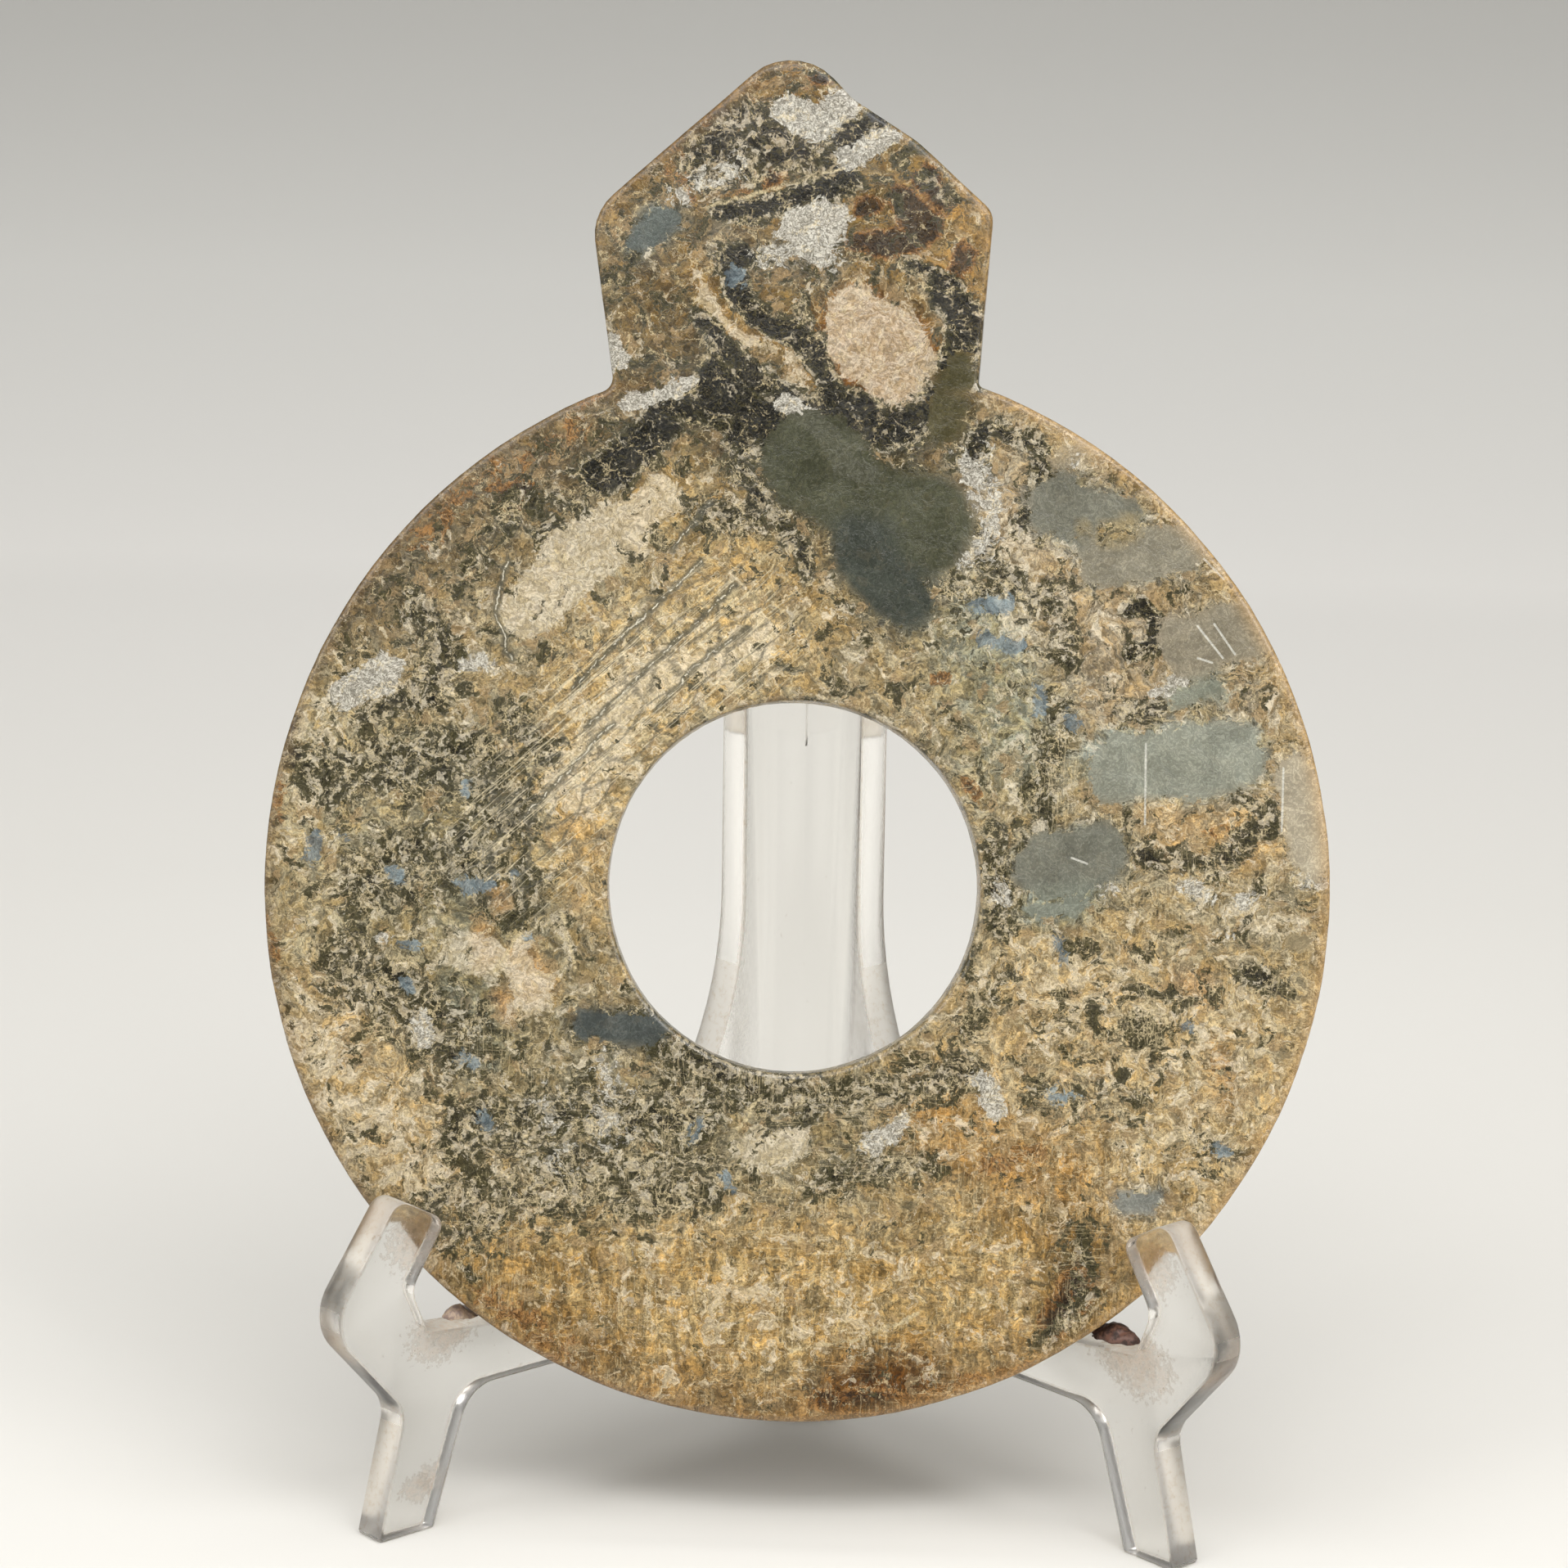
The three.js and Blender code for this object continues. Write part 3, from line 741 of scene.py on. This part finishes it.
# Vein net: hair-thin seams between wandering cells.
vein_net, take, give = effect(
    "vein_net",
    [("Place", VECTOR, None), ("Cell", FLOAT, 4.0), ("Wander", FLOAT, 2.0), ("Width", FLOAT, 0.05)],
    [("Mask", FLOAT), ("Cells", FLOAT)],
)
wandering = pushed(vein_net, take["Place"], take["Wander"], 0.5, 6.0, 0.72)
cell_wires = {"Vector": wandering, "Scale": sums(vein_net, "DIVIDE", 1.0, take["Cell"])}
seam = wired(vein_net, "ShaderNodeTexVoronoi", cell_wires, feature="DISTANCE_TO_EDGE")["Distance"]
shade = wired(vein_net, "ShaderNodeTexVoronoi", cell_wires)["Color"]
vein_net.links.new(ramped(vein_net, seam, 0.0, take["Width"], 1.0, 0.0), give["Mask"])
vein_net.links.new(shade, give["Cells"])

# Hairlines: fine long seams along one direction, where stretched noise crosses its middle value.
hairlines, take, give = effect(
    "hairlines",
    [("Place", VECTOR, None), ("Stretch", VECTOR, (1, 0.1, 1)), ("Width", FLOAT, 0.01)],
    [("Mask", FLOAT)],
)
stretched = vectors(hairlines, "MULTIPLY", take["Place"], take["Stretch"])
level = clouds(hairlines, stretched, 0.5, 3.0)["Fac"]
from_middle = sums(hairlines, "ABSOLUTE", sums(hairlines, "SUBTRACT", level, 0.5))
hairlines.links.new(ramped(hairlines, from_middle, 0.0, take["Width"], 1.0, 0.0), give["Mask"])

# Line distance: how far a place on the face is from a straight line between two points.
line_distance, take, give = effect(
    "line_distance",
    [("Place", VECTOR, None), ("Start", VECTOR, (0, 0, 0)), ("End", VECTOR, (1, 0, 0))],
    [("Distance", FLOAT)],
)
flat = vectors(line_distance, "MULTIPLY", take["Place"], (1, 1, 0))
from_start = vectors(line_distance, "SUBTRACT", flat, take["Start"])
run = vectors(line_distance, "SUBTRACT", take["End"], take["Start"])
reach = vectors(line_distance, "DOT_PRODUCT", from_start, run)
length = vectors(line_distance, "DOT_PRODUCT", run, run)
share = wired(line_distance, "ShaderNodeMath", {0: reach, 1: length}, operation="DIVIDE",
              use_clamp=True)[0]
nearest = vectors(line_distance, "SCALE", run, share)
line_distance.links.new(vectors(line_distance, "DISTANCE", from_start, nearest), give["Distance"])

mottled = plain_material("mottled_jade", "#8F7D5C", 0.3)
tree = mottled.node_tree
body = tree.nodes["Principled BSDF"]
body.inputs["IOR"].default_value = 1.55
here = wired(tree, "ShaderNodeTexCoord", {})["Object"]
place = wired(tree, "ShaderNodeMapping",
              {"Vector": here, "Location": stone_middle,
               "Rotation": (math.pi / 2 - stone_lean, 0, 0), "Scale": (0.001, 0.001, 0.001)},
              vector_type="TEXTURE")[0]
stirred = pushed(tree, place, (11, 11, 11), 0.14, 4.0, 0.62)


def drawn_amounts(name):
    """The colour of one painted attribute, and its four amounts."""
    layer = wired(tree, "ShaderNodeAttribute", {}, attribute_name=name)
    parts = wired(tree, "ShaderNodeSeparateColor", {"Color": layer["Color"]})
    return layer["Color"], parts[0], parts[1], parts[2], layer["Alpha"]


def grain(size, amount=0.5, scatter=2.0, edge=0.05, shift=0.0, at=stirred):
    """The mask and depth of one mineral."""
    wires = {"Place": at, "Amount": amount, "Size": size, "Scatter": scatter, "Edge": edge,
             "Shift": shift}
    made = wired(tree, "ShaderNodeGroup", wires, node_tree=mineral_grain)
    return made["Mask"], made["Depth"]


def net(cell, wander, width, at=place):
    """The seams of a vein net, and its cells' shades."""
    wires = {"Place": at, "Cell": cell, "Wander": wander, "Width": width}
    made = wired(tree, "ShaderNodeGroup", wires, node_tree=vein_net)
    return made["Mask"], made["Cells"]


def lines_along(stretch, width, at=place):
    """Hairlines drawn out along one axis."""
    wires = {"Place": at, "Stretch": stretch, "Width": width}
    return wired(tree, "ShaderNodeGroup", wires, node_tree=hairlines)["Mask"]


def nearest_line(courses, at):
    """The distance to the nearest of several lines."""
    nearest_so_far = 99.0
    for course in courses:
        for start, end in zip(course[:-1], course[1:]):
            wires = {"Place": at, "Start": (*start, 0), "End": (*end, 0)}
            away = wired(tree, "ShaderNodeGroup", wires, node_tree=line_distance)["Distance"]
            nearest_so_far = sums(tree, "MINIMUM", nearest_so_far, away)
    return nearest_so_far


def times(first, second):
    """The product of two values."""
    return sums(tree, "MULTIPLY", first, second)


def shaded(under, by, low, high):
    """A colour multiplied by a mask that is taken to a range."""
    return blended(tree, 1.0, under, ramped(tree, by, 0, 1, low, high), "MULTIPLY")


def laid(under, mask, share, over):
    """A colour with another laid over it where the mask shows, by a share of it."""
    return blended(tree, times(mask, share), under, rgb(over) if isinstance(over, str) else over)


ground_tint, _, _, _, streaks = drawn_amounts("ground")
_, dark, cream, white, slate = drawn_amounts("minerals")
_, rust, blue, clefts_here, painted_rim_light = drawn_amounts("accents")

# The ground mass: the drawn tint, warmer and cooler by turns, uneven at three sizes, and drawn out
# upright in the foot.
streaky = vectors(tree, "MULTIPLY", place, (1, 0.22, 1))
coarse = grain(6, scatter=1.8, edge=0.4, shift=11)[0]
medium = grain(1.8, scatter=2.4, edge=0.35, shift=23)[0]
fine = grain(0.6, scatter=2.6, edge=0.4, shift=37)[0]
warmth = grain(3.5, scatter=2.2, edge=0.3, shift=17)[0]
upright = grain(1.3, scatter=2.4, edge=0.35, shift=41, at=streaky)[0]
tilted = blended(tree, warmth, rgb("#F2F8FF"), rgb("#FFF0D0"))
colour = blended(tree, 1.0, ground_tint, tilted, "MULTIPLY")
colour = shaded(colour, coarse, 0.85, 1.25)
colour = shaded(colour, medium, 0.6, 1.45)
colour = blended(tree, streaks, colour, shaded(colour, upright, 0.65, 1.25))
slate_colour = shaded(shaded(ground_tint, coarse, 0.8, 1.15), fine, 0.94, 1.05)
# Small clasts crowd the ground, each a shade of its own, in pale seams.
seams, cells = net(2.1, 3.4, 0.07)
crowd = grain(7, ramped(tree, dark, 0.25, 0.6, 0.2, 0.6), scatter=2.6, edge=0.25, shift=29)[0]
dark_clast = ramped(tree, cells, 0.26, 0.34, 1.0, 0.0)
pale_clast = ramped(tree, cells, 0.72, 0.8)
colour = laid(colour, times(dark_clast, crowd), 0.6, "#4C4A36")
colour = laid(colour, pale_clast, 0.4, "#7C8078")
colour = laid(colour, pale_clast, 0.5, "#AC8A55")
# Minerals, laid over one another.
speck = grain(1.2, ramped(tree, dark, 0.25, 0.75, 0.26, 0.6), scatter=2.4, edge=0.06, shift=3)[0]
colour = laid(colour, speck, 0.75, "#3F3A28")
pale = blended(tree, 0.5, ground_tint, rgb("#E2D0AA"))
pale = blended(tree, ramped(tree, medium, 0, 1, 0, 0.5), pale, rgb("#F2EAD8"))
colour = laid(colour, grain(3.2, cream, scatter=2.6, edge=0.08, shift=57)[0], 0.75, pale)
rust_mask, rust_depth = grain(2.4, rust, scatter=1.8, edge=0.05, shift=71)
brown = blended(tree, ramped(tree, rust_depth, 0, 0.5), rgb("#86633A"), rgb("#64431F"))
brown = blended(tree, ramped(tree, rust_depth, 0.4, 1), brown, rgb("#2C1E0E"))
colour = laid(colour, rust_mask, 0.9, shaded(brown, fine, 0.6, 1.5))
dark_mask, dark_depth = grain(3.6, dark, scatter=2.6, edge=0.04, shift=83)
olive = blended(tree, dark_depth, rgb("#444028"), rgb("#14130C"))
olive = blended(tree, ramped(tree, fine, 0.5, 1, 0, 0.5), olive, rgb("#5A5338"))
colour = laid(colour, dark_mask, 0.95, olive)
lump_amount = times(ramped(tree, dark, 0.42, 0.6), ramped(tree, dark, 0.8, 1.0, 0.42, 0.2))
lumps = grain(1.8, lump_amount, scatter=3.0, edge=0.08, shift=163)[0]
colour = laid(colour, lumps, 0.65, pale)
white_mask = grain(2.4, white, scatter=2.6, edge=0.06, shift=97)[0]
crystal = blended(tree, fine, rgb("#979182"), rgb("#D6D2C6"))
crystal = laid(crystal, net(1.1, 1.2, 0.07)[0], 0.55, "#7D7768")
colour = laid(colour, white_mask, 0.9, crystal)
# Cream hair veins: a wide net, a close one in patches of the half-dark ground, and straight hairs
# that run level and upright, more of them toward the lower right.
veins = net(4.2, 4.4, 0.035)[0]
gate = grain(3.0, 0.45, scatter=2.8, edge=0.1, shift=111)[0]
half_dark = times(ramped(tree, dark, 0.3, 0.6), ramped(tree, dark, 0.7, 0.95, 1.0, 0.0))
hair = grain(6.0, ramped(tree, half_dark, 0, 1, 0.1, 0.42), scatter=3.0, edge=0.12, shift=127)[0]
vein_share = sums(tree, "MAXIMUM", times(veins, gate), times(seams, hair))
place_parts = wired(tree, "ShaderNodeSeparateXYZ", {0: place})
lower_right = sums(tree, "MULTIPLY_ADD", place_parts["X"], -0.6, place_parts["Y"])
lattice = ramped(tree, lower_right, 60, -40, 0.05, 0.44)
level_gate = grain(9.0, lattice, scatter=3.0, edge=0.1, shift=139)[0]
upright_gate = grain(9.0, lattice, scatter=3.0, edge=0.1, shift=149)[0]
level_hairs = times(lines_along((0.14, 1.6, 1), 0.022), level_gate)
upright_hairs = times(lines_along((1.6, 0.12, 1), 0.022), upright_gate)
straight = times(sums(tree, "MAXIMUM", level_hairs, upright_hairs), 0.55)
colour = laid(colour, sums(tree, "MAXIMUM", vein_share, straight), 0.75, "#DECBA0")
# The clefts: dark seams that rise to the right, crossed by others, with a cream hair along some.
wobbling = pushed(tree, place, (2.2, 2.2, 0), 0.4, 4.0)
cleft_turn = {"Vector": place, "Rotation": (0, 0, math.radians(-42)), "Scale": (0.5, 0.5, 0.5)}
turned = vectors(tree, "MULTIPLY", wired(tree, "ShaderNodeMapping", cleft_turn)[0], (0.42, 1.1, 1))
cross_seams = net(2.0, 1.6, 0.09, at=turned)[0]
cleft_distance = nearest_line(clefts, wobbling)
cleft_dark = ramped(tree, cleft_distance, 0.25, 1.0, 1.0, 0.0)
cross_dark = times(times(cross_seams, clefts_here), 0.8)
cleft_share = sums(tree, "MAXIMUM", cleft_dark, cross_dark)
colour = laid(colour, cleft_share, 0.8, "#4A4630")
slanting = times(lines_along((0.2, 2.2, 1), 0.02, at=turned), clefts_here)
colour = laid(colour, slanting, 0.7, "#E3D5B2")
cleft_hair = ramped(tree, cleft_distance, 0.05, 0.2, 1.0, 0.0)
colour = laid(colour, cleft_hair, ramped(tree, medium, 0.4, 0.7), "#D9D2BC")
# Cream ribbons that wander across the ground.
ribbon = ramped(tree, nearest_line(ribbons, wobbling), 0.1, 0.5, 1.0, 0.0)
colour = laid(colour, ribbon, ramped(tree, medium, 0.2, 0.7, 0.1, 0.8), "#D2C198")
# Slate, blue glints, and the white needles cut in the slate.
slate_mask = grain(3.0, slate, scatter=2.5, edge=0.05, shift=131)[0]
colour = laid(colour, slate_mask, 0.93, slate_colour)
blue_mask = grain(1.6, blue, scatter=2.2, edge=0.08, shift=151)[0]
colour = laid(colour, blue_mask, 0.8, blended(tree, coarse, rgb("#353F47"), rgb("#92A2A7")))
needle = ramped(tree, nearest_line(needles, place), 0.08, 0.26, 1.0, 0.0)
colour = laid(colour, needle, 0.75, "#D3D1C6")
# The rim is painted with a golden glow as light shining through it, dark brown on the left and
# bright gold toward the right where the light falls; and the finest grain lies over all.
sideways = wired(tree, "ShaderNodeSeparateXYZ", {0: stirred})["X"]
painted_glow = blended(tree, ramped(tree, sideways, -30, 60), rgb("#7A5A30"), rgb("#D0A566"))
colour = laid(colour, painted_rim_light, 0.6, painted_glow)
grit = sums(tree, "MAXIMUM", ramped(tree, fine, 0, 1, 0.52, 1.04), times(slate_mask, 0.76))
colour = blended(tree, 1.0, colour, grit, "MULTIPLY")
tree.links.new(colour, body.inputs["Base Color"])

gloss = ramped(tree, coarse, 0, 1, 0.2, 0.3)
gloss = sums(tree, "MULTIPLY_ADD", cleft_share, 0.2, gloss)
gloss = sums(tree, "MULTIPLY_ADD", slate_mask, -0.06, gloss)
tree.links.new(gloss, body.inputs["Roughness"])
relief = times(fine, 0.35)
for mask, height in ((medium, 0.4), (cleft_share, -1.2), (dark_mask, -0.2), (needle, -0.4)):
    relief = sums(tree, "MULTIPLY_ADD", mask, height, relief)
bump = {"Height": relief, "Strength": 0.5, "Distance": 0.00006}
tree.links.new(wired(tree, "ShaderNodeBump", bump)[0], body.inputs["Normal"])
jade.data.materials.clear()
jade.data.materials.append(mottled)
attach(jade, "root")
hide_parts("jade_disc")


# The easel: two plates sawn from quarter-inch clear acrylic sheet, their sawn edges polished and
# eased. They meet in a mitre at the spine, cemented from the foot to half way up, and above that
# the joint stays open as a fine slit.
easel_height = 0.1778
plate_edge = 0.0005
arc_step = math.radians(4)
cement_top = 0.1246
slit_width = 0.00035
slit_depth = 0.05
slit_overrun = 0.002
# The plate's corners, going round from the spine's foot, and the radius each is sawn to (mm).
plate_corners = [
    (-8, 0, 0), (6.5, 0, 0.8), (13, 23.4, 8), (77, 23.4, 7), (84.9, 0, 0.8), (96.6, 0, 0.8),
    (91, 22.4, 6), (106.6, 40.1, 8.5), (92.1, 60.1, 3), (82.1, 54.4, 2.2), (89.2, 43.5, 4),
    (85.9, 35.5, 1), (42.3, 30.9, 30), (17, 85.2, 65.4), (17, 177.8, 3), (-8, 177.8, 0),
]


def rounded(corners):
    """The points of a closed run of corners, each rounded by an arc of its own radius."""
    points = []
    for index, (x, y, radius) in enumerate(corners):
        corner = Vector((x, y))
        if radius == 0:
            points.append(corner)
            continue
        back = (Vector(corners[index - 1][:2]) - corner).normalized()
        ahead = (Vector(corners[(index + 1) % len(corners)][:2]) - corner).normalized()
        half = back.angle(ahead) / 2
        centre = corner + (back + ahead).normalized() * radius / math.sin(half)
        first = corner + back * radius / math.tan(half) - centre
        turn = math.pi - 2 * half
        side = 1 if back.x * ahead.y - back.y * ahead.x < 0 else -1
        steps = max(3, math.ceil(turn / arc_step))
        for step in range(steps + 1):
            spin = Matrix.Rotation(side * turn * step / steps, 2)
            points.append(centre + spin @ first)
    return points


outline = rounded(plate_corners)
bpy.ops.object.select_all(action="DESELECT")
bpy.ops.mesh.primitive_circle_add(vertices=len(outline), fill_type="NGON")
plate = bpy.context.object
plate.name = "clear_easel"
for vertex, point in zip(plate.data.vertices, outline):
    vertex.co = (point.x / 1000, point.y / 1000, -plate_thickness / 2)
start_edit()
bpy.ops.mesh.normals_make_consistent(inside=True)
sheet_thickness = {"value": (0, 0, plate_thickness)}
bpy.ops.mesh.extrude_region_move(TRANSFORM_OT_translate=sheet_thickness)
bpy.ops.mesh.select_all(action="SELECT")
bpy.ops.mesh.normals_make_consistent(inside=False)
bpy.ops.mesh.select_all(action="DESELECT")
bpy.ops.object.mode_set(mode="OBJECT")
for edge in plate.data.edges:
    ends = [plate.data.vertices[index].co.z for index in edge.vertices]
    edge.select = abs(ends[0] - ends[1]) < plate_thickness / 2
bpy.ops.object.mode_set(mode="EDIT")
bpy.ops.mesh.select_mode(type="EDGE")
bpy.ops.mesh.bevel(offset=plate_edge, segments=2, affect="EDGES")
bpy.ops.object.mode_set(mode="OBJECT")
right_wing = Matrix.Translation((0, spine_y, 0)) @ Matrix.Rotation(-wing_turn, 4, "Z")
plate.data.transform(right_wing @ Matrix.Rotation(math.pi / 2, 4, "X"))
# The mitre: the plate is sawn off at the plane between the wings, a hair past it for the join.
mitre_overlap = 0.00002
bpy.context.view_layer.objects.active = plate
start_edit()
bpy.ops.mesh.bisect(plane_co=(-mitre_overlap, 0, 0), plane_no=(1, 0, 0), use_fill=True,
                    clear_inner=True)
bpy.ops.object.mode_set(mode="OBJECT")
bpy.ops.object.duplicate()
other = bpy.context.object
other.data.transform(Matrix.Scale(-1, 4, (1, 0, 0)))
start_edit()
bpy.ops.mesh.normals_make_consistent(inside=False)
bpy.ops.object.mode_set(mode="OBJECT")
cut_with(plate, other, "UNION")
bpy.ops.mesh.primitive_cube_add(size=1)
slit = bpy.context.object
slit.location = (0, spine_y, (cement_top + easel_height) / 2 + slit_overrun / 2)
slit.scale = (slit_width, slit_depth, easel_height - cement_top + slit_overrun)
bpy.ops.object.transform_apply(location=True, rotation=True, scale=True)
cut_with(plate, slit, "DIFFERENCE")
# The spine's outer corner is scraped to a narrow flat.
arris_depth = 0.00035
plate.select_set(True)
start_edit()
bpy.ops.mesh.bisect(plane_co=(0, cad_high.y - arris_depth, 0), plane_no=(0, 1, 0), use_fill=True,
                    clear_outer=True)
bpy.ops.object.mode_set(mode="OBJECT")
bpy.ops.object.shade_smooth_by_angle(angle=math.radians(30))
# The sawn edges are told from the sheet's faces by the way they look.
sheet_faces = [right_wing.to_3x3() @ Vector((0, side, 0)) for side in (-1, 1)]
sheet_faces += [Vector((-face.x, face.y, face.z)) for face in sheet_faces]
sawn = plate.data.attributes.new("sawn", "FLOAT", "FACE")
sawn.data.foreach_set("value", [
    float(max(face.normal.dot(flat) for flat in sheet_faces) < 0.98) for face in plate.data.polygons
])
plate.data.materials.clear()
acrylic = plain_material("clear_acrylic", "#FBFAF7", 0.03)
tree = acrylic.node_tree
body = tree.nodes["Principled BSDF"]
body.inputs["Transmission Weight"].default_value = 1
body.inputs["IOR"].default_value = 1.49
here = wired(tree, "ShaderNodeTexCoord", {})["Object"]
millimetres = vectors(tree, "SCALE", here, 1000.0)
edge_here = wired(tree, "ShaderNodeAttribute", {}, attribute_name="sawn")["Fac"]
polish_marks = clouds(tree, millimetres, 0.9, 6.0, 0.7)["Fac"]
dust = ramped(tree, polish_marks, 0.62, 0.7)
# Dried residue: a tan film on the hooks' heads, below the wax and on one foot, each a spot with its
# place across and up, and its reach, in millimetres. Its rim is darker.
film_spots = [(-60, 52, 9), (-58, 34, 7), (60, 52, 9), (60, 34, 9), (-61, 8, 4)]
face_on = vectors(tree, "MULTIPLY", millimetres, (1, 0, 1))
film = 0.0
for along, up, reach in film_spots:
    away = vectors(tree, "DISTANCE", face_on, (along, 0, up))
    film = sums(tree, "MAXIMUM", film, ramped(tree, away, reach, reach * 0.3, 0.0, 0.6))
film = sums(tree, "MULTIPLY_ADD", sums(tree, "SUBTRACT", polish_marks, 0.5), 2.0, film)
film_rim = times(ramped(tree, film, 0.3, 0.42), ramped(tree, film, 0.42, 0.6, 1.0, 0.0))
film = ramped(tree, film, 0.35, 0.75)
tone = blended(tree, times(edge_here, 0.8), rgb("#FBFAF7"), rgb("#F6F0E7"))
grime = times(edge_here, ramped(tree, polish_marks, 0.48, 0.66))
tone = laid(tone, grime, 0.5, "#CDB99C")
tone = laid(tone, film, 0.55, "#DDBD9E")
tone = laid(tone, film_rim, 0.45, "#9B7F58")
tree.links.new(tone, body.inputs["Base Color"])
rough = sums(tree, "MULTIPLY_ADD", edge_here, 0.28, 0.02)
rough = sums(tree, "MULTIPLY_ADD", dust, 0.12, rough)
rough = sums(tree, "MULTIPLY_ADD", film, 0.25, rough)
tree.links.new(rough, body.inputs["Roughness"])
bump = {"Height": polish_marks, "Strength": 0.2, "Distance": 0.0001}
tree.links.new(wired(tree, "ShaderNodeBump", bump)[0], body.inputs["Normal"])
plate.data.materials.append(acrylic)
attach(plate, "root")
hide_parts("easel_left_plate", "easel_right_plate")


# The museum wax: a soft lump pressed by thumb under the rim on either ledge, so that the disc
# can't slide. It has picked up dirt and dried to mauve and brown.
wax_voxel = 0.0004
for side, colour, dirty in (("left", "#9A857F", "#C9B39A"), ("right", "#6A4A3E", "#33211B")):
    lump = copied(f"wax_{side}", f"pressed_wax_{side}")
    melt = lump.modifiers.new("melt", "REMESH")
    melt.mode = "VOXEL"
    melt.voxel_size = wax_voxel
    bpy.ops.object.modifier_apply(modifier="melt")
    soften = lump.modifiers.new("soften", "SMOOTH")
    soften.iterations = 6
    bpy.ops.object.modifier_apply(modifier="soften")
    thumbed = bpy.data.textures.new(f"thumbed_{side}", "CLOUDS")
    thumbed.noise_scale = 0.002
    dents = lump.modifiers.new("dents", "DISPLACE")
    dents.texture = thumbed
    dents.texture_coords = "LOCAL"
    dents.strength = 0.0009
    dents.mid_level = 1
    bpy.ops.object.modifier_apply(modifier="dents")
    bpy.ops.object.shade_smooth()
    wax = plain_material(f"museum_wax_{side}", colour, 0.5)
    tree = wax.node_tree
    body = tree.nodes["Principled BSDF"]
    here = wired(tree, "ShaderNodeTexCoord", {})["Object"]
    dirt = clouds(tree, here, 900.0, 5.0, 0.65)["Fac"]
    stained = blended(tree, ramped(tree, dirt, 0.4, 0.62), rgb(colour), rgb(dirty))
    tree.links.new(stained, body.inputs["Base Color"])
    tree.links.new(ramped(tree, dirt, 0.3, 0.7, 0.35, 0.7), body.inputs["Roughness"])
    lump.data.materials.clear()
    lump.data.materials.append(wax)
    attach(lump, "root")
    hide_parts(f"wax_{side}")
